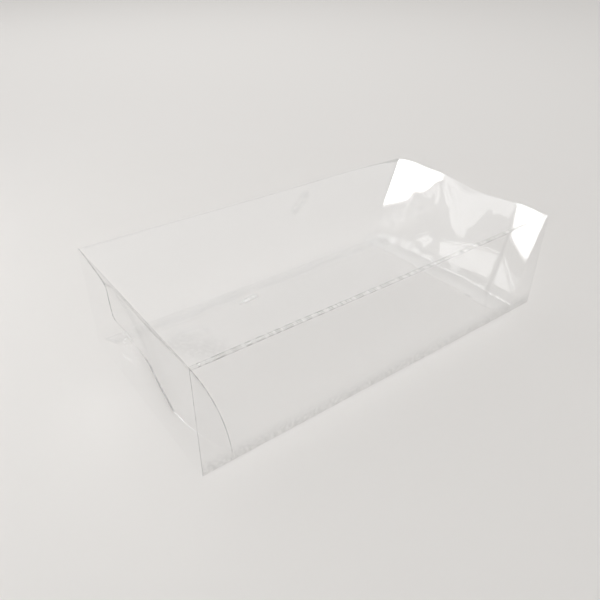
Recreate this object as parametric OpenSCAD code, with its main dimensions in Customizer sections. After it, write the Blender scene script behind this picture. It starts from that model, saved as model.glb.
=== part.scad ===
// Clear folding box: one sheet of stiff film, creased into a square-edged sleeve,
// glued along a seam, with a tuck lid hinged on the top panel at each end.
// The long side runs along Y, the width along X, and the box stands on Z = 0.

/* [Box] */
// Outside length, from end to end
box_length = 190; // [130:5:260]
// Outside width
box_width = 100; // [70:5:140]
// Outside height
box_height = 50; // [36:2:80]

/* [Film] */
// Thickness of the clear film
film = 0.3; // [0.2:0.05:0.45]
// Outside radius of the four long folds
fold_radius = 0.8; // [0.6:0.1:1.5]

/* [Glue seam] */
// Width of the glue flap inside the floor
glue_width = 10; // [6:1:15]
// How far the glue flap stops short of each end
glue_end = 3; // [2:0.5:6]
// How much each end of the glue flap narrows towards its free edge
glue_taper = 4; // [0:1:8]

/* [Lids] */
// How far the lower corners of a lid lean into the box
corner_lean = 12; // [8:1:16]
// How far the middle of a lid's lower fold leans in
middle_lean = 7; // [3:1:8]
// Length of the tuck flap, from the lid's lower fold to its free edge
tuck_length = 12; // [8:1:18]
// Radius of the tuck flap's two corners
tuck_radius = 7; // [3:1:8]
// Gap between a lid's side edge and the side wall
side_gap = 0.5; // [0.3:0.1:1.2]
// Gap between the top panel's film and the lid's, at the crease that joins them
crease_gap = 0.2; // [0.15:0.05:0.4]
// Gap that a swinging lid keeps from the film of the floor
floor_gap = 0.45; // [0.4:0.05:1]

/* [Hidden] */
$fn = 32;

film_colour = [0.90, 0.91, 0.91, 0.35];
lid_colour = [0.94, 0.95, 0.95, 0.45];

// The crease that a lid swings on lies in the middle of the top panel's film
crease_z = box_height - film / 2;
crease_y = box_length / 2 - film / 2;
// A lid's film starts this far below its crease
crease_drop = film / 2 + crease_gap;
lid_half_width = box_width / 2 - film - side_gap;
// Largest reach below the crease of the middle of a lid's film
swing_reach = crease_z - 2 * film - floor_gap;
// Strips across and down a lid, and down its tuck flap
lid_columns = 16;
lid_rows = 10;
tuck_rows = 6;

// The section of the sleeve's outside or inside, grown inwards by a given amount
module rounded_section(inset, radius) {
    half_w = box_width / 2 - inset;
    low = inset;
    high = box_height - inset;
    union() {
        translate([-half_w + radius, low]) square([2 * (half_w - radius), high - low]);
        translate([-half_w, low + radius]) square([2 * half_w, high - low - 2 * radius]);
        for (x = [-half_w + radius, half_w - radius], z = [low + radius, high - radius])
            translate([x, z]) circle(r = radius);
    }
}

// Four panels in one loop, open at both ends
module wall_loop() {
    rotate([90, 0, 0])
        linear_extrude(height = box_length, center = true)
            difference() {
                rounded_section(0, fold_radius);
                rounded_section(film, fold_radius - film);
            }
}

// The flap that closes the loop, glued down on the floor beside the left wall
module glue_flap() {
    wall_side = -box_width / 2 + film;
    free_side = -box_width / 2 + glue_width;
    long_end = box_length / 2 - glue_end;
    short_end = long_end - glue_taper;
    translate([0, 0, film])
        linear_extrude(height = film)
            polygon([[wall_side, -long_end], [free_side, -short_end], [free_side, short_end], [wall_side, long_end]]);
}

module sleeve() {
    color(film_colour) union() {
        wall_loop();
        glue_flap();
    }
}

// A lid is drawn with its crease on the X axis, hanging down and leaning towards +Y.
// Each row of points is [lean, drop]: how far in from the crease, and how far below it.

// Lean of the lower fold at a place across the lid, from -1 at one side to 1 at the other
function fold_lean(across) = middle_lean + (corner_lean - middle_lean) * across * across;

// The lower fold keeps to the swing reach, so it rises where it leans in further
function fold_drop(across) = sqrt(swing_reach * swing_reach - fold_lean(across) * fold_lean(across));

// A hanging strip starts slanting in at the crease and ends upright at the lower fold
function panel_point(across, down) = [
    fold_lean(across) * (2 * down - down * down),
    fold_drop(across) * down
];

// The tuck flap rises just enough for its free edge to keep to the swing reach
function tuck_rise(across) =
    atan2(fold_lean(across), fold_drop(across)) + asin(tuck_length / (2 * swing_reach));
function tuck_point(across, along) = [
    fold_lean(across) + tuck_length * along * cos(tuck_rise(across)),
    fold_drop(across) - tuck_length * along * sin(tuck_rise(across))
];

// How far a rounded corner pulls the tuck flap's side in, at a place along the flap
function corner_inset(along) =
    let (past = max(0, along * tuck_length - (tuck_length - tuck_radius)))
    tuck_radius - sqrt(tuck_radius * tuck_radius - past * past);

function is_tuck(row) = row > lid_rows;
function tuck_share(row) = sin(90 * (row - lid_rows) / tuck_rows);
first_share = crease_drop / swing_reach;
function row_half_width(row) = lid_half_width - (is_tuck(row) ? corner_inset(tuck_share(row)) : 0);
function profile_point(row, across) =
    is_tuck(row)
        ? tuck_point(across, tuck_share(row))
        : panel_point(across, first_share + (1 - first_share) * row / lid_rows);

last_row = lid_rows + tuck_rows;

// Direction square to the film at a row, halfway between the strips above and below it
function film_normal(row, across) =
    let (
        above = profile_point(max(row - 1, 0), across),
        here = profile_point(row, across),
        below = profile_point(min(row + 1, last_row), across),
        up = row == 0 ? [0, 0] : (here - above) / norm(here - above),
        down = row == last_row ? [0, 0] : (below - here) / norm(below - here),
        run = up + down,
        miter = row == 0 || row == last_row ? 1 : 1 / max(0.5, sqrt((1 + up * down) / 2))
    )
    [run[1], -run[0]] / norm(run) * miter;

// One point of the film's face: side 1 faces into the box, side -1 faces out
function film_point(row, column, side) =
    let (
        across = 2 * column / lid_columns - 1,
        place = profile_point(row, across) + film_normal(row, across) * side * film / 2
    )
    [across * row_half_width(row), place[0], -place[1]];

// Film that follows the rows and columns of a lid, as one closed solid
module lid_film() {
    row_size = lid_columns + 1;
    face_size = row_size * (last_row + 1);
    points = [for (side = [1, -1], row = [0:last_row], column = [0:lid_columns]) film_point(row, column, side)];
    inside = [for (row = [0:last_row - 1], column = [0:lid_columns - 1])
        let (a = row * row_size + column)
        each [[a, a + 1, a + row_size + 1], [a, a + row_size + 1, a + row_size]]];
    outside = [for (face = inside) [face[0] + face_size, face[2] + face_size, face[1] + face_size]];
    rim = concat(
        [for (column = [0:lid_columns]) column],
        [for (row = [1:last_row]) row * row_size + lid_columns],
        [for (column = [lid_columns - 1:-1:0]) last_row * row_size + column],
        [for (row = [last_row - 1:-1:1]) row * row_size]
    );
    edge = [for (i = [0:len(rim) - 1])
        let (a = rim[i], b = rim[(i + 1) % len(rim)])
        each [[b, a, a + face_size], [b, a + face_size, b + face_size]]];
    polyhedron(points = points, faces = concat(inside, outside, edge), convexity = 4);
}

module near_lid() {
    color(lid_colour) translate([0, -crease_y, crease_z]) lid_film();
}

module far_lid() {
    color(lid_colour) translate([0, crease_y, crease_z]) rotate([0, 0, 180]) lid_film();
}

sleeve();
near_lid();
far_lid();
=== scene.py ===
# Clear folding box: one sheet of clear film, folded into a sleeve, with a tuck lid at each end.
# Lengths are in metres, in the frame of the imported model: +Y along the box, +Z up.
import math

import bmesh
import bpy
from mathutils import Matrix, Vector


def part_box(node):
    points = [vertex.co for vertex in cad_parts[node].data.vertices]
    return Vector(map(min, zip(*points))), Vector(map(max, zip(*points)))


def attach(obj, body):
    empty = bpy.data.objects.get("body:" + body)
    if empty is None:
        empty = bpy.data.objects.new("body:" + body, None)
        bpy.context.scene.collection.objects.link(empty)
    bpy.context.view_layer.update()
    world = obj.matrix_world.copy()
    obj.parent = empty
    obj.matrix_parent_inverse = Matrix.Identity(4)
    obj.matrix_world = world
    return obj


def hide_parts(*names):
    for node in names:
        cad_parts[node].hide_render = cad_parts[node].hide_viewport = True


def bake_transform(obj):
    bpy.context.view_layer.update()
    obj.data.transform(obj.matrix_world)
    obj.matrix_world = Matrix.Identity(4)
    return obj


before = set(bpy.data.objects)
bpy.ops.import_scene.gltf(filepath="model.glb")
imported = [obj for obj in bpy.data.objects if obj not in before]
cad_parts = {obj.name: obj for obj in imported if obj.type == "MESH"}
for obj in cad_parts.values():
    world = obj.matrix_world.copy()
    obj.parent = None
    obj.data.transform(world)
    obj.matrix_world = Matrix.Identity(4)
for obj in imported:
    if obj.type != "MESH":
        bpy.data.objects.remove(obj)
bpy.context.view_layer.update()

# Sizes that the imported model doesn't state, as the box is made
MM = 0.001
FILM = 0.3 * MM
FOLD_RADIUS = 0.8 * MM
FOLD_STEPS = 5
GLUE_WIDTH = 10 * MM
GLUE_END = 3 * MM
GLUE_TAPER = 4 * MM
LID_SIDE_GAP = 0.5 * MM
TUCK_LENGTH = 12 * MM
TUCK_RADIUS = 7 * MM
FLOOR_GAP = 0.45 * MM
# Sheets that lie on each other are kept this far apart
CONTACT = 0.03 * MM

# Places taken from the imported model
low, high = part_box("sleeve")
WIDTH = high.x - low.x
LENGTH = high.y - low.y
HEIGHT = high.z - low.z
CREASE_Z = HEIGHT - FILM / 2
LID_OUTER_Y = LENGTH / 2 - CONTACT
LID_HALF_WIDTH = WIDTH / 2 - FILM - LID_SIDE_GAP
SWING_REACH = CREASE_Z - 2 * FILM - FLOOR_GAP

# Camera, as the photograph was taken
CAMERA_PLACE = Vector((0.18735, -0.15444, 0.17053))
CAMERA_TARGET = Vector((-0.02234, 0.00236, 0.0))
CAMERA_LENS = 36.0
CAMERA_SENSOR = 36.0
CAMERA_NEAREST = 5 * MM


def make_camera():
    data = bpy.data.cameras.new("camera")
    data.lens = CAMERA_LENS
    data.sensor_width = CAMERA_SENSOR
    data.clip_start = CAMERA_NEAREST
    camera = bpy.data.objects.new("camera", data)
    bpy.context.scene.collection.objects.link(camera)
    camera.location = CAMERA_PLACE
    camera.rotation_mode = "QUATERNION"
    camera.rotation_quaternion = (CAMERA_TARGET - CAMERA_PLACE).to_track_quat("-Z", "Y")
    bpy.context.scene.camera = camera


# Modelling helpers
def deselect_all():
    if bpy.context.object and bpy.context.object.mode != "OBJECT":
        bpy.ops.object.mode_set(mode="OBJECT")
    bpy.ops.object.select_all(action="DESELECT")


def make_active(piece):
    deselect_all()
    piece.select_set(True)
    bpy.context.view_layer.objects.active = piece


def pick(piece, kind, test):
    """Selects only the vertices, edges or faces that pass a test."""
    bpy.ops.mesh.select_all(action="DESELECT")
    bpy.ops.mesh.select_mode(type=kind)
    mesh = bmesh.from_edit_mesh(piece.data)
    parts = {"VERT": mesh.verts, "EDGE": mesh.edges, "FACE": mesh.faces}[kind]
    for part in parts:
        if test(part):
            part.select_set(True)
    mesh.select_flush_mode()
    bmesh.update_edit_mesh(piece.data)


def edge_runs_along(edge, axis):
    run = edge.verts[1].co - edge.verts[0].co
    return abs(run[axis]) > 0.99 * run.length


def give_materials(piece, materials):
    for material in materials:
        piece.data.materials.append(material)


def thicken_film(piece, highlight_outside):
    """Gives a sheet its thickness, inwards from its outer face. The rim takes the second material.
    Painted highlights stay on the outer face only, or on the inner face only."""
    make_active(piece)
    outer_points = len(piece.data.vertices)
    thickness = piece.modifiers.new("thickness", "SOLIDIFY")
    thickness.thickness = FILM
    thickness.offset = -1.0
    thickness.use_even_offset = False
    thickness.material_offset_rim = 1
    bpy.ops.object.modifier_apply(modifier="thickness")
    bpy.ops.object.shade_smooth_by_angle(angle=math.radians(35))
    for index, mark in enumerate(piece.data.attributes["painted_highlight"].data):
        if (index < outer_points) != highlight_outside:
            mark.value = 0.0


def darken_rim(piece, test):
    """Cut edges whose middle passes a test take the third material, which paints them darker as shade."""
    for face in piece.data.polygons:
        if face.material_index == 1 and test(face.center):
            face.material_index = 2


# Interpolation between listed points
def straight(points, place):
    """Value at a place, in a straight line between the points on each side of it."""
    for (start, first), (end, last) in zip(points, points[1:]):
        if place <= end:
            share = max(0.0, (place - start) / (end - start))
            return first + (last - first) * share
    return points[-1][1]


def smooth(points, place):
    """Value at a place, on a smooth curve through the points."""
    last_point = len(points) - 1
    span = 0
    while span < last_point - 1 and place > points[span + 1][0]:
        span += 1
    before, start, end, after = (points[max(0, min(last_point, span + step))] for step in (-1, 0, 1, 2))
    width = end[0] - start[0]
    share = max(0.0, min(1.0, (place - start[0]) / width))
    first_slope = (end[1] - before[1]) / (end[0] - before[0]) * width
    last_slope = (after[1] - start[1]) / (after[0] - start[0]) * width
    rise = end[1] - start[1]
    return (start[1] + first_slope * share + (3 * rise - 2 * first_slope - last_slope) * share**2
            + (first_slope + last_slope - 2 * rise) * share**3)


def ease(value, start, end):
    """0 at start, 1 at end, and a soft curve between them."""
    share = max(0.0, min(1.0, (value - start) / (end - start)))
    return share * share * (3 - 2 * share)


def stroke(point, stops, half_width):
    """1 on a line through the stops, falling to 0 at half_width from it. Points are pairs."""
    nearest = half_width
    for (ax, ay), (bx, by) in zip(stops, stops[1:]):
        run_x, run_y = bx - ax, by - ay
        share = ((point[0] - ax) * run_x + (point[1] - ay) * run_y) / (run_x**2 + run_y**2)
        share = max(0.0, min(1.0, share))
        nearest = min(nearest, math.hypot(point[0] - ax - run_x * share, point[1] - ay - run_y * share))
    return 1 - ease(nearest, 0.0, half_width)


def strokes(point, marks):
    """Strongest of several marks at a point. A mark is its stops, its half width and its strength."""
    amounts = [strength * stroke(point, stops, half_width) for stops, half_width, strength in marks]
    return max(amounts, default=0.0)


def paint(piece, name, values):
    layer = piece.data.attributes.new(name, "FLOAT", "POINT")
    layer.data.foreach_set("value", values)


# Materials
# Share of light that the film mirrors when it is seen square on, and how fast that grows towards a flat angle
FILM_MIRROR = 0.03
MIRROR_RISE = 5.0
# The film's gloss is a sharp mirror with a softer sheen over it
MIRROR_ROUGHNESS = 0.01
SHEEN_ROUGHNESS = 0.30
# Colours of painted shade, painted highlights, the dark and pale lines painted along folds, and cut edges
PAINTED_SHADE_FILM = (0.20, 0.195, 0.19)
HIGHLIGHT_FILM = (0.97, 0.97, 0.96)
DARK_FILM = (0.13, 0.125, 0.12)
PALE_FILM = (0.95, 0.95, 0.94)
CUT_FILM = (0.45, 0.44, 0.43)
CUT_ROUGHNESS = 0.25
# Noises that break up the marks, in features per metre
SHADE_SPECKLE = 700.0
HIGHLIGHT_CLOUD = 260.0
FOLD_SPECKLE = 420.0
CUT_SPECKLE = 500.0
# Height of the film's ripples, and how many there are to the metre
SLEEVE_RIPPLE = (0.06 * MM, 45.0)
NEAR_LID_RIPPLE = (0.0, 110.0)
FAR_LID_RIPPLE = (0.04 * MM, 110.0)


def new_material(name):
    material = bpy.data.materials.new(name)
    material.use_nodes = True
    tree = material.node_tree
    tree.nodes.clear()
    output = tree.nodes.new("ShaderNodeOutputMaterial")
    return material, tree, output


def maths(tree, operation, first, second=0.0):
    node = tree.nodes.new("ShaderNodeMath")
    node.operation = operation
    for socket, value in zip(node.inputs, (first, second)):
        if hasattr(value, "node"):
            tree.links.new(value, socket)
        else:
            socket.default_value = value
    return node.outputs[0]


def mix_shaders(tree, share, first, second):
    mix = tree.nodes.new("ShaderNodeMixShader")
    if hasattr(share, "node"):
        tree.links.new(share, mix.inputs[0])
    else:
        mix.inputs[0].default_value = share
    tree.links.new(first, mix.inputs[1])
    tree.links.new(second, mix.inputs[2])
    return mix.outputs[0]


def map_range(tree, value, low_in, high_in, low_out, high_out):
    node = tree.nodes.new("ShaderNodeMapRange")
    node.interpolation_type = "SMOOTHSTEP"
    tree.links.new(value, node.inputs["Value"])
    numbers = {"From Min": low_in, "From Max": high_in, "To Min": low_out, "To Max": high_out}
    for name, number in numbers.items():
        node.inputs[name].default_value = number
    return node.outputs["Result"]


def noise(tree, scale, detail=2.0, stretch=(1.0, 1.0, 1.0)):
    """Noise on the piece's own coordinates. Scale is in features per metre."""
    coordinates = tree.nodes.new("ShaderNodeTexCoord")
    mapping = tree.nodes.new("ShaderNodeMapping")
    mapping.inputs["Scale"].default_value = stretch
    tree.links.new(coordinates.outputs["Object"], mapping.inputs["Vector"])
    texture = tree.nodes.new("ShaderNodeTexNoise")
    texture.inputs["Scale"].default_value = scale
    texture.inputs["Detail"].default_value = detail
    tree.links.new(mapping.outputs[0], texture.inputs["Vector"])
    return texture.outputs["Fac"]


def principled(tree, colour, roughness):
    shader = tree.nodes.new("ShaderNodeBsdfPrincipled")
    shader.inputs["Base Color"].default_value = (*colour, 1.0)
    shader.inputs["Roughness"].default_value = roughness
    return shader.outputs[0]


def clear_shader(tree, ripple, sheen, grazing):
    """Clear film: it lets light through, and mirrors more the flatter the light meets it.
    sheen is the softer part of its gloss, and grazing is what it adds to its mirror at the flattest angle."""
    ripple_height, ripple_scale = ripple
    bump = tree.nodes.new("ShaderNodeBump")
    bump.inputs["Strength"].default_value = 1.0
    bump.inputs["Distance"].default_value = ripple_height
    tree.links.new(noise(tree, ripple_scale), bump.inputs["Height"])
    facing = tree.nodes.new("ShaderNodeLayerWeight")
    mirror_share = maths(tree, "POWER", facing.outputs["Facing"], MIRROR_RISE)
    mirror_share = maths(tree, "MULTIPLY", mirror_share, grazing)
    mirror_share = maths(tree, "ADD", mirror_share, FILM_MIRROR)
    clear = tree.nodes.new("ShaderNodeBsdfTransparent")
    clear.inputs["Color"].default_value = (1.0, 1.0, 1.0, 1.0)
    glosses = []
    for roughness in (MIRROR_ROUGHNESS, SHEEN_ROUGHNESS):
        gloss = tree.nodes.new("ShaderNodeBsdfAnisotropic")
        gloss.inputs["Roughness"].default_value = roughness
        tree.links.new(bump.outputs[0], gloss.inputs["Normal"])
        glosses.append(gloss.outputs[0])
    gloss = mix_shaders(tree, sheen, *glosses)
    return mix_shaders(tree, mirror_share, clear.outputs[0], gloss)


def attribute(tree, name):
    node = tree.nodes.new("ShaderNodeAttribute")
    node.attribute_name = name
    return node.outputs["Fac"]


def add_painted_light(tree, film):
    """Painted shade and painted highlights where they are painted on the film, broken up by a fine noise."""
    broken = map_range(tree, noise(tree, SHADE_SPECKLE), 0.35, 0.6, 0.35, 1.0)
    dark = maths(tree, "MULTIPLY", attribute(tree, "painted_shade"), broken)
    film = mix_shaders(tree, dark, film, principled(tree, PAINTED_SHADE_FILM, 0.4))
    cloudy = map_range(tree, noise(tree, HIGHLIGHT_CLOUD), 0.3, 0.65, 0.4, 1.0)
    white = maths(tree, "MULTIPLY", attribute(tree, "painted_highlight"), cloudy)
    return mix_shaders(tree, white, film, principled(tree, HIGHLIGHT_FILM, 0.35))


def lid_material(name, ripple, sheen, grazing):
    material, tree, output = new_material(name)
    film = clear_shader(tree, ripple, sheen, grazing)
    tree.links.new(add_painted_light(tree, film), output.inputs["Surface"])
    return material


# How strongly each long fold's painted line shows: top right, bottom right, top left, bottom left
FOLD_MARKS = {"top_right": 0.36, "bottom_right": 0.10, "top_left": 0.05, "bottom_left": 0.0}
# The two dark shoulders of a pressed fold, painted as shade, measured across it from its middle
SHOULDER_PLACE = 0.8 * MM
SHOULDER_WIDTH = 0.35 * MM


def fold_strength(tree, x, z):
    right = maths(tree, "GREATER_THAN", x, 0.0)
    top = maths(tree, "GREATER_THAN", z, HEIGHT / 2)
    left = maths(tree, "SUBTRACT", 1.0, right)
    bottom = maths(tree, "SUBTRACT", 1.0, top)
    folds = (("top_right", top, right), ("bottom_right", bottom, right),
             ("top_left", top, left), ("bottom_left", bottom, left))
    total = 0.0
    for name, row, side in folds:
        corner = maths(tree, "MULTIPLY", maths(tree, "MULTIPLY", row, side), FOLD_MARKS[name])
        total = maths(tree, "ADD", corner, total)
    return total


def sleeve_material():
    material, tree, output = new_material("sleeve_film")
    film = clear_shader(tree, SLEEVE_RIPPLE, sheen=0.06, grazing=0.7)
    film = add_painted_light(tree, film)
    coordinates = tree.nodes.new("ShaderNodeTexCoord")
    split = tree.nodes.new("ShaderNodeSeparateXYZ")
    tree.links.new(coordinates.outputs["Object"], split.inputs[0])
    x, z = split.outputs["X"], split.outputs["Z"]
    from_side = maths(tree, "SUBTRACT", WIDTH / 2, maths(tree, "ABSOLUTE", x))
    from_level = maths(tree, "ABSOLUTE", maths(tree, "SUBTRACT", z, HEIGHT / 2))
    from_level = maths(tree, "SUBTRACT", HEIGHT / 2, from_level)
    across = maths(tree, "ABSOLUTE", maths(tree, "SUBTRACT", from_side, from_level))
    from_shoulder = maths(tree, "ABSOLUTE", maths(tree, "SUBTRACT", across, SHOULDER_PLACE))
    strength = fold_strength(tree, x, z)
    speckle = noise(tree, FOLD_SPECKLE, stretch=(0.2, 1.0, 0.2))
    pressed = map_range(tree, speckle, 0.38, 0.6, 0.3, 1.0)
    strength = maths(tree, "MULTIPLY", strength, pressed)
    # The fold's dark shoulders are painted shade. Its pale middle is partly whitened film and partly a
    # painted highlight, for the light that the bent film turns
    shoulder = map_range(tree, from_shoulder, 0.0, SHOULDER_WIDTH, 1.0, 0.0)
    core = map_range(tree, across, 0.0, SHOULDER_PLACE - SHOULDER_WIDTH, 1.0, 0.0)
    shoulder = maths(tree, "MULTIPLY", shoulder, strength)
    film = mix_shaders(tree, shoulder, film, principled(tree, DARK_FILM, 0.35))
    core = maths(tree, "MULTIPLY", core, strength)
    film = mix_shaders(tree, core, film, principled(tree, PALE_FILM, 0.3))
    tree.links.new(film, output.inputs["Surface"])
    return material


def edge_material(name, colour, opacity):
    """A cut edge: film seen end on, so part of it is dark. The dark is painted shade, for the light that the
    film's edge leads away.
    """
    material, tree, output = new_material(name)
    clear = tree.nodes.new("ShaderNodeBsdfTransparent")
    uneven = map_range(tree, noise(tree, CUT_SPECKLE), 0.35, 0.62, 0.3 * opacity, opacity)
    shader = mix_shaders(tree, uneven, clear.outputs[0], principled(tree, colour, CUT_ROUGHNESS))
    tree.links.new(shader, output.inputs["Surface"])
    return material


# Sleeve
# Cuts that share each panel into small faces
CUTS_ALONG = 135
CUTS_ACROSS = 69
CUTS_UP = 34
# An edge longer than this crosses a panel, and a shorter one crosses a fold
PANEL_EDGE = 10 * MM
# How far the far end's top edge dips, at places across the box, and how far along the box that reaches
FAR_DIP = ((-50 * MM, 1.2 * MM), (-40 * MM, 0.1 * MM), (-19 * MM, 0.0), (-8 * MM, 0.8 * MM),
           (9 * MM, 2.3 * MM), (22 * MM, 1.5 * MM), (30 * MM, 0.7 * MM), (37 * MM, 0.1 * MM),
           (50 * MM, 1.0 * MM))
FAR_DIP_REACH = 45 * MM
# How far the top panel's long edges sag midway
RIGHT_SAG = 1.4 * MM
LEFT_SAG = 0.5 * MM
# Painted shade along the right wall's foot: its strength at the floor, and the height over which it fades out
FOOT_SHADE = 0.10
FOOT_SHADE_HEIGHT = 9 * MM
# Marks are lines of stops, with a half width and a strength. On the floor and top panels a stop is (x, y)
# Painted highlights on the floor panel: white marks that stand for glints of light
FLOOR_HIGHLIGHTS = (
    (((-38.0 * MM, -22.5 * MM), (-39.0 * MM, -14.7 * MM)), 2.2 * MM, 0.85),
    (((-30 * MM, -62 * MM), (-28 * MM, -50 * MM)), 5 * MM, 0.10),
)
# Painted shade on the top panel, near its near right corner
TOP_SHADE = (
    (((36 * MM, -91 * MM), (46 * MM, -84 * MM)), 10 * MM, 0.05),
)
# A painted highlight on the left wall, a white mark for a glint of light. On the left wall a stop is (y, z)
WALL_HIGHLIGHTS = (
    (((20 * MM, 37 * MM), (26 * MM, 42.5 * MM)), 4.5 * MM, 0.26),
)


def settle(point):
    """How far a point of the sleeve has sunk from its square shape."""
    along = (point.y + LENGTH / 2) / LENGTH
    side = (point.x + WIDTH / 2) / WIDTH
    sag = (LEFT_SAG + (RIGHT_SAG - LEFT_SAG) * side) * math.sin(math.pi * along) ** 2
    dip = max(0.0, smooth(FAR_DIP, point.x)) * ease(point.y, LENGTH / 2 - FAR_DIP_REACH, LENGTH / 2)
    return (sag + dip) * point.z / HEIGHT


def paint_sleeve_light_and_shade(sleeve):
    """Paints the sleeve's marks: painted highlights on the floor and left wall, painted shade on the top and
    right wall.
    """
    white, dark = [], []
    for vertex in sleeve.data.vertices:
        point = vertex.co
        amount = 0.0
        shade = 0.0
        if point.z < FOLD_RADIUS:
            amount = strokes((point.x, point.y), FLOOR_HIGHLIGHTS)
        elif point.x < -WIDTH / 2 + FOLD_RADIUS:
            amount = strokes((point.y, point.z), WALL_HIGHLIGHTS)
        elif point.z > HEIGHT - FOLD_RADIUS:
            shade = strokes((point.x, point.y), TOP_SHADE)
        elif point.x > WIDTH / 2 - FOLD_RADIUS:
            shade = FOOT_SHADE * (1 - ease(point.z, 0.0, FOOT_SHADE_HEIGHT))
        white.append(amount)
        dark.append(shade)
    paint(sleeve, "painted_highlight", white)
    paint(sleeve, "painted_shade", dark)


def make_sleeve(materials):
    deselect_all()
    bpy.ops.mesh.primitive_cube_add(size=1.0, location=(0, 0, HEIGHT / 2), scale=(WIDTH, LENGTH, HEIGHT))
    sleeve = bpy.context.object
    sleeve.name = "sleeve_film"
    bpy.ops.object.transform_apply(location=True, rotation=True, scale=True)
    give_materials(sleeve, materials)
    bpy.ops.object.mode_set(mode="EDIT")
    pick(sleeve, "FACE", lambda face: abs(face.normal.y) > 0.9)
    bpy.ops.mesh.delete(type="ONLY_FACE")
    pick(sleeve, "EDGE", lambda edge: edge_runs_along(edge, 1))
    bpy.ops.mesh.bevel(offset=FOLD_RADIUS, segments=FOLD_STEPS, profile=0.5)
    pick(sleeve, "EDGE", lambda edge: edge_runs_along(edge, 1))
    bpy.ops.mesh.subdivide(number_cuts=CUTS_ALONG)
    pick(sleeve, "EDGE", lambda edge: edge_runs_along(edge, 0) and edge.calc_length() > PANEL_EDGE)
    bpy.ops.mesh.subdivide(number_cuts=CUTS_ACROSS)
    pick(sleeve, "EDGE", lambda edge: edge_runs_along(edge, 2) and edge.calc_length() > PANEL_EDGE)
    bpy.ops.mesh.subdivide(number_cuts=CUTS_UP)
    bpy.ops.object.mode_set(mode="OBJECT")
    paint_sleeve_light_and_shade(sleeve)
    for vertex in sleeve.data.vertices:
        vertex.co.z -= settle(vertex.co)
    thicken_film(sleeve, highlight_outside=False)
    darken_rim(sleeve, lambda spot: spot.y < 0 and spot.x > WIDTH / 2 - 2 * FILM)
    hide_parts("sleeve")
    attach(sleeve, "sleeve")


# Glue flap
GLUE_COLUMNS = 10
GLUE_ROWS = 120
# Strength of the pale streak along its middle, and of the shade beside the wall
GLUE_STREAK = 0.07
GLUE_SHADE = 0.035
# Waves along the flap: height, radians per metre, and start
FREE_EDGE_WAVES = ((0.35 * MM, 95, 0), (0.25 * MM, 231, 1))
STREAK_WAVES = ((0.3, 130, 0), (0.2, 290, 2))
# Share of the flap's width, beside the wall, that rises into the fold, and how far it rises
FOLD_SHARE = 0.15
FOLD_RISE = 0.35 * FOLD_RADIUS


def waves(place, parts):
    return sum(height * math.sin(place * turns + start) for height, turns, start in parts)


def make_glue_flap(materials):
    """The flap that closes the sleeve, glued to the floor panel beside the left wall."""
    wall_side = -WIDTH / 2 + FILM + CONTACT
    free_side = -WIDTH / 2 + GLUE_WIDTH
    middle = (wall_side + free_side) / 2
    long_end = LENGTH / 2 - GLUE_END
    deselect_all()
    bpy.ops.mesh.primitive_grid_add(x_subdivisions=GLUE_COLUMNS, y_subdivisions=GLUE_ROWS, size=1.0,
                                    location=(middle, 0, 0))
    flap = bpy.context.object
    flap.name = "glue_flap_film"
    flap.scale = (free_side - wall_side, 2 * long_end, 1.0)
    bpy.ops.object.transform_apply(location=True, rotation=True, scale=True)
    give_materials(flap, materials)
    white, dark = [], []
    for vertex in flap.data.vertices:
        point = vertex.co
        across = (point.x - wall_side) / (free_side - wall_side)
        point.y *= (long_end - GLUE_TAPER * across) / long_end
        # The free edge wanders a little, and the glued film isn't quite flat
        point.x += across * waves(point.y, FREE_EDGE_WAVES)
        point.z = 2 * FILM + CONTACT
        if across < FOLD_SHARE:
            point.z += FOLD_RISE * (1 - across / FOLD_SHARE)
        streak = 0.5 + waves(point.y, STREAK_WAVES)
        white.append(GLUE_STREAK * streak * stroke((across, 0), ((0.55, -1), (0.55, 1)), 0.35))
        dark.append(GLUE_SHADE * (1 - ease(across, 0.4, 1.0)))
    paint(flap, "painted_highlight", white)
    paint(flap, "painted_shade", dark)
    thicken_film(flap, highlight_outside=True)
    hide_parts("sleeve")
    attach(flap, "sleeve")


# Lids
# A lid hangs from its crease and leans into the box. Points on a lid are (place across it, depth down it).
LID_COLUMNS = 110
PANEL_ROWS = 62
TUCK_ROWS = 14
PANEL_LENGTH = SWING_REACH
TUCK_RISE = math.radians(5)
# Distances from the lower fold of the rows next to it, so that the fold stays crisp
FOLD_ROWS = (0.0, 0.35 * MM, 0.9 * MM)

# The far lid slants in facets: steep ones at its upper corners, and a steep band near its foot.
# Above the band lies a short flatter dip. A slope is how far in the film leans for each length down it.
FACET_SLOPE = 0.355
BAND_SLOPE = 0.305
DIP_SLOPE = 0.12
DIP_LENGTH = 2 * MM
FOOT_SLOPE = ((-50 * MM, 0.20), (-22 * MM, 0.21), (-12 * MM, 0.285), (50 * MM, 0.285))
MIDDLE_SLOPE = ((-50 * MM, 0.235), (-34 * MM, 0.230), (-26 * MM, 0.212), (-11 * MM, 0.212),
                (-3 * MM, 0.243), (7 * MM, 0.241), (15 * MM, 0.214), (32 * MM, 0.216), (50 * MM, 0.230))
# Depth that a corner facet reaches, at places across the lid
CORNER_FACET = ((-50 * MM, 30 * MM), (-32.2 * MM, 20.5 * MM), (-31 * MM, 14.5 * MM), (-24 * MM, 13.3 * MM),
                (-18.5 * MM, 6.3 * MM), (-15 * MM, 4.6 * MM), (-14.2 * MM, 0), (32 * MM, 0),
                (33.5 * MM, 6 * MM), (35 * MM, 12 * MM), (35.8 * MM, 16.5 * MM), (50 * MM, 24.5 * MM))
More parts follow.
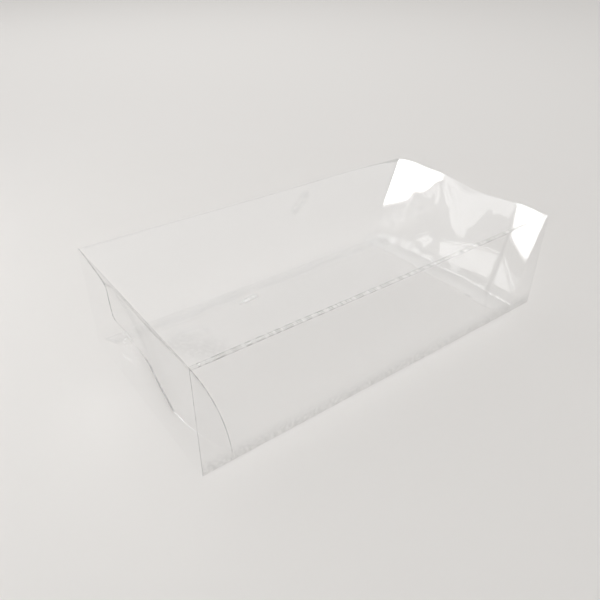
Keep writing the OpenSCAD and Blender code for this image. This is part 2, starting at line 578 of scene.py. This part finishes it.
# Depth at which the steeper band near the foot starts, and where it ends
BAND_TOP = ((-50 * MM, 47 * MM), (-26 * MM, 46 * MM), (-17 * MM, 36 * MM), (3 * MM, 33 * MM),
            (16 * MM, 30 * MM), (35 * MM, 27.5 * MM), (38 * MM, 30 * MM), (48 * MM, 42 * MM),
            (50 * MM, 42.5 * MM))
BAND_END = ((-50 * MM, 41 * MM), (-24 * MM, 41 * MM), (-16 * MM, 42.5 * MM), (50 * MM, 42.5 * MM))
# Soft creases across the far lid, as grooves pressed into it
FAR_GROOVES = (
    (((-16 * MM, 3 * MM), (-8 * MM, 15 * MM)), 1.6 * MM, 0.10 * MM),
    (((-9.5 * MM, 3 * MM), (-1 * MM, 13 * MM)), 1.6 * MM, 0.06 * MM),
    (((18 * MM, 6 * MM), (12 * MM, 20 * MM)), 3 * MM, 0.10 * MM),
)

# Lean of the near lid's lower fold, at places across it
NEAR_FOLD_LEAN = ((-50 * MM, 12.0 * MM), (-38 * MM, 11.5 * MM), (-20 * MM, 10.7 * MM), (-5 * MM, 8.5 * MM),
                  (5 * MM, 7.2 * MM), (17 * MM, 6 * MM), (35 * MM, 8.5 * MM), (50 * MM, 13 * MM))
# How much the near lid's panel bows between its crease and its lower fold
NEAR_BOW = 0.75
# Places between which its left side edge's own lean fades into that bow
LEFT_EDGE_REACH = (-50 * MM, -20 * MM)
# The buckle that crosses the near lid's upper left corner, from its side edge to the crease
BUCKLE_SIDE_DEPTH = 20 * MM
BUCKLE_END = -5 * MM
BUCKLE_SLOPE = 0.06
# Lean of the near lid's left side edge, at depths down it. The rest of the lid has a plain bow.
NEAR_LEFT_EDGE = ((0, 0), (10 * MM, 3.3 * MM), (22 * MM, 7.0 * MM), (32 * MM, 7.7 * MM),
                  (41 * MM, 8.6 * MM), (PANEL_LENGTH, 12.0 * MM))

# Painted shade and painted highlights on the lids, in the same way: dark lines painted along creases, bends
# and side edges, and white marks for glints and reflected light. Here a stop is (place across the lid, depth
# down it)
NEAR_DARK = (
    (((-49 * MM, 0.0), (-48.6 * MM, 20 * MM)), 3.2 * MM, 0.30),
    (((-49 * MM, 20 * MM), (-5 * MM, 0.5 * MM)), 0.8 * MM, 0.14),
    (((-16 * MM, 0.0), (49 * MM, 0.0)), 0.6 * MM, 0.50),
    (((-7 * MM, 1.8 * MM), (4 * MM, 2.6 * MM), (20 * MM, 3.2 * MM), (35 * MM, 1.9 * MM),
      (48 * MM, 0.6 * MM)), 0.8 * MM, 0.55),
)
NEAR_WHITE = (
    (((-46 * MM, 44 * MM), (-37 * MM, 46 * MM)), 3.5 * MM, 0.75),
    (((-47.5 * MM, 18.8 * MM), (-30 * MM, 11 * MM)), 0.9 * MM, 0.25),
)
FAR_DARK = ()
FAR_WHITE = (
    (((-40 * MM, 36 * MM), (-24 * MM, 24 * MM)), 7 * MM, 0.14),
)
# Painted shade along a lid's lower fold, at places across it
NEAR_FOLD_DARK = ((-34 * MM, 0.0), (-28 * MM, 0.15), (-18 * MM, 0.40), (0, 0.42), (12 * MM, 0.35),
                  (17 * MM, 0.0))
FAR_FOLD_DARK = ((-50 * MM, 0.0), (50 * MM, 0.0))
# Height above which the near lid's side edges are painted dark, as shade
NEAR_RIGHT_EDGE_FOOT = 4 * MM
NEAR_LEFT_EDGE_FOOT = 9 * MM


def far_lean(place, depth):
    """How far in a point of the far lid leans."""
    facet = straight(CORNER_FACET, place)
    band = max(facet, straight(BAND_TOP, place))
    foot = max(band, straight(BAND_END, place))
    dip = min(DIP_LENGTH, band - facet)
    lean = FACET_SLOPE * min(depth, facet)
    lean += smooth(MIDDLE_SLOPE, place) * max(0.0, min(depth, band - dip) - facet)
    lean += DIP_SLOPE * max(0.0, min(depth, band) - (band - dip))
    lean += BAND_SLOPE * max(0.0, min(depth, foot) - band)
    lean += straight(FOOT_SLOPE, place) * max(0.0, depth - foot)
    for stops, half_width, groove in FAR_GROOVES:
        lean += groove * stroke((place, depth), stops, half_width)
    return lean


def near_lean(place, depth):
    """How far in a point of the near lid leans."""
    share = depth / PANEL_LENGTH
    bow = (1 + NEAR_BOW) * share - NEAR_BOW * share**2
    edge_bow = smooth(NEAR_LEFT_EDGE, depth) / NEAR_LEFT_EDGE[-1][1]
    from_edge = ease(place, *LEFT_EDGE_REACH)
    lean = smooth(NEAR_FOLD_LEAN, place) * (edge_bow + (bow - edge_bow) * from_edge)
    buckle = BUCKLE_SIDE_DEPTH * max(0.0, (BUCKLE_END - place) / (BUCKLE_END + LID_HALF_WIDTH))
    return lean + BUCKLE_SLOPE * min(depth, buckle) * (1 - share)


def corner_inset(along):
    """How far a rounded corner pulls the tuck flap's side in, at a place along the flap."""
    past = max(0.0, along * TUCK_LENGTH - (TUCK_LENGTH - TUCK_RADIUS))
    return TUCK_RADIUS - math.sqrt(max(0.0, TUCK_RADIUS**2 - past**2))


def row_depth(row):
    """Depth down the lid of a row of its panel."""
    if PANEL_ROWS - row < len(FOLD_ROWS):
        return PANEL_LENGTH - FOLD_ROWS[PANEL_ROWS - row]
    return PANEL_LENGTH * row / PANEL_ROWS


def tuck_share(row):
    """How far along the tuck flap a row of it lies, from 0 at the fold to 1 at the free edge."""
    step = row - PANEL_ROWS
    if step < len(FOLD_ROWS):
        return FOLD_ROWS[step] / TUCK_LENGTH
    return math.sin(math.pi / 2 * (step - 1) / (TUCK_ROWS - 1))


def lid_point(place, row, end, lean_at):
    """Where a point of the lid lies. Rows run down the panel, then along the tuck flap."""
    fold = lean_at(place, PANEL_LENGTH)
    fold_z = CREASE_Z - math.sqrt(SWING_REACH**2 - fold**2)
    top_z = HEIGHT - FILM - CONTACT
    if end > 0:
        top_z -= max(0.0, smooth(FAR_DIP, place))
    if row <= PANEL_ROWS:
        share = row_depth(row) / PANEL_LENGTH
        lean = lean_at(place, share * PANEL_LENGTH) - lean_at(place, 0.0)
        return Vector((place, end * (LID_OUTER_Y - lean), top_z + (fold_z - top_z) * share))
    along = tuck_share(row)
    lean = fold + TUCK_LENGTH * along * math.cos(TUCK_RISE)
    rise = TUCK_LENGTH * along * math.sin(TUCK_RISE)
    width = 1 - corner_inset(along) / LID_HALF_WIDTH
    return Vector((place * width, end * (LID_OUTER_Y - lean), fold_z + rise))


def on_dark_side_edge(spot):
    """Whether a spot lies on the part of the near lid's side edges that is painted dark as shade."""
    foot = NEAR_RIGHT_EDGE_FOOT if spot.x > 0 else NEAR_LEFT_EDGE_FOOT
    return abs(spot.x) > LID_HALF_WIDTH - 0.1 * MM and spot.z > foot


def make_lid(name, node, end, lean_at, marks, materials):
    """end is -1 for the near lid and 1 for the far one. lean_at gives how far in a point leans."""
    dark_marks, white_marks, fold_dark = marks
    rows = PANEL_ROWS + TUCK_ROWS
    deselect_all()
    bpy.ops.mesh.primitive_grid_add(x_subdivisions=LID_COLUMNS, y_subdivisions=rows, size=2.0)
    lid = bpy.context.object
    lid.name = name
    give_materials(lid, materials)
    dark, white = [], []
    for vertex in lid.data.vertices:
        row = round((1 - vertex.co.y) / 2 * rows)
        place = vertex.co.x * LID_HALF_WIDTH
        depth = row_depth(row) if row <= PANEL_ROWS else PANEL_LENGTH + tuck_share(row) * TUCK_LENGTH
        spot = (place, depth)
        amount = strokes(spot, dark_marks)
        if abs(row - PANEL_ROWS) < 2:
            amount = max(amount, straight(fold_dark, place))
        dark.append(amount)
        white.append(strokes(spot, white_marks))
        vertex.co = lid_point(place, row, end, lean_at)
    paint(lid, "painted_shade", dark)
    paint(lid, "painted_highlight", white)
    make_active(lid)
    if end > 0:
        bpy.ops.object.mode_set(mode="EDIT")
        bpy.ops.mesh.select_all(action="SELECT")
        bpy.ops.mesh.flip_normals()
        bpy.ops.object.mode_set(mode="OBJECT")
    thicken_film(lid, highlight_outside=end < 0)
    if end < 0:
        darken_rim(lid, on_dark_side_edge)
    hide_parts(node)
    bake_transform(lid)


# Floor and light
FLOOR_SIZE = 8.0
FLOOR_DROP = 0.2 * MM
FLOOR_COLOUR = (0.80, 0.785, 0.77, 1.0)
ROOM_COLOUR = (0.80, 0.79, 0.775, 1.0)
ROOM_STRENGTH = 0.70
# The overhead light: where it comes from, how wide it looks, and its strength
SKY_LIGHT_PLACE = (0.17, 0.0, 1.0)
SKY_LIGHT_ANGLE = math.radians(16)
SKY_LIGHT_STRENGTH = 0.44


def make_floor():
    deselect_all()
    bpy.ops.mesh.primitive_plane_add(size=FLOOR_SIZE, location=(0, 0, -FLOOR_DROP))
    floor = bpy.context.object
    floor.name = "floor"
    material, tree, output = new_material("floor")
    shader = tree.nodes.new("ShaderNodeBsdfDiffuse")
    shader.inputs["Color"].default_value = FLOOR_COLOUR
    tree.links.new(shader.outputs[0], output.inputs["Surface"])
    floor.data.materials.append(material)


def area_light(name, place, target, size, radiance, in_mirrors_only=False):
    """A rectangular light of a given radiance. One that is only seen in mirrors lights nothing else."""
    data = bpy.data.lights.new(name, "AREA")
    data.shape = "RECTANGLE"
    data.size, data.size_y = size
    data.energy = radiance * math.pi * size[0] * size[1]
    light = bpy.data.objects.new(name, data)
    bpy.context.scene.collection.objects.link(light)
    light.location = place
    light.rotation_mode = "QUATERNION"
    light.rotation_quaternion = (Vector(target) - Vector(place)).to_track_quat("-Z", "Y")
    light.visible_camera = False
    light.visible_diffuse = not in_mirrors_only
    return light


def make_light():
    """A plain room with soft light. The window, the sill and the ceiling show only in the film's mirror."""
    world = bpy.data.worlds.new("room")
    world.use_nodes = True
    background = world.node_tree.nodes["Background"]
    background.inputs["Color"].default_value = ROOM_COLOUR
    background.inputs["Strength"].default_value = ROOM_STRENGTH
    bpy.context.scene.world = world
    area_light("window", place=(-0.9, -1.3, 0.53), target=(0, 0, 0.53), size=(1.3, 0.64),
               radiance=24.0, in_mirrors_only=True)
    area_light("sill", place=(-0.32, -0.45, 0.055), target=(0, 0.09, 0.055), size=(0.8, 0.08),
               radiance=3.8, in_mirrors_only=True)
    area_light("ceiling", place=(0, 0, 3.0), target=(0, 0, 0), size=(24, 24),
               radiance=0.57, in_mirrors_only=True)
    sky_light = bpy.data.objects.new("sky_light", bpy.data.lights.new("sky_light", "SUN"))
    bpy.context.scene.collection.objects.link(sky_light)
    sky_light.rotation_mode = "QUATERNION"
    sky_light.rotation_quaternion = Vector(SKY_LIGHT_PLACE).to_track_quat("Z", "Y")
    sky_light.data.angle = SKY_LIGHT_ANGLE
    sky_light.data.energy = SKY_LIGHT_STRENGTH
    side_light = area_light("side_light", place=(-0.80, 0.205, 1.04), target=(0, 0, 0), size=(0.8, 0.8),
                            radiance=1.70)
    low_light = area_light("low_light", place=(-0.183, -0.375, 0.2), target=(0, 0, 0), size=(0.1, 0.1),
                           radiance=10.2)
    for light in (side_light, low_light):
        light.data.use_shadow = False
        light.visible_glossy = False


def let_light_through():
    """Plain colours, and enough bounces for light to cross every layer of the film."""
    scene = bpy.context.scene
    scene.view_settings.view_transform = "Standard"
    scene.cycles.transparent_max_bounces = 32
    scene.cycles.use_denoising = True
    scene.cycles.max_bounces = 24
    scene.cycles.glossy_bounces = 12
    scene.cycles.diffuse_bounces = 8
    scene.cycles.caustics_reflective = True
    scene.cycles.blur_glossy = 0.2


let_light_through()
make_camera()
make_floor()
make_light()

# Each piece has its film first, then its plain cut edge, then the cut edge where it is painted darker as
# shade
clear_edge = edge_material("clear_edge", CUT_FILM, 0.07)
dark_edge = edge_material("dark_edge", DARK_FILM, 0.85)
speckled_edge = edge_material("speckled_edge", DARK_FILM, 0.5)
sleeve_film = sleeve_material()
near_lid_film = lid_material("near_lid_film", NEAR_LID_RIPPLE, sheen=0.0, grazing=0.2)
far_lid_film = lid_material("far_lid_film", FAR_LID_RIPPLE, sheen=0.22, grazing=0.9)
make_sleeve((sleeve_film, clear_edge, dark_edge))
make_glue_flap((near_lid_film, clear_edge, speckled_edge))
make_lid("near_lid_film", "near_lid", -1, near_lean,
         marks=(NEAR_DARK, NEAR_WHITE, NEAR_FOLD_DARK), materials=(near_lid_film, clear_edge, speckled_edge))
make_lid("far_lid_film", "far_lid", 1, far_lean,
         marks=(FAR_DARK, FAR_WHITE, FAR_FOLD_DARK), materials=(far_lid_film, clear_edge, dark_edge))
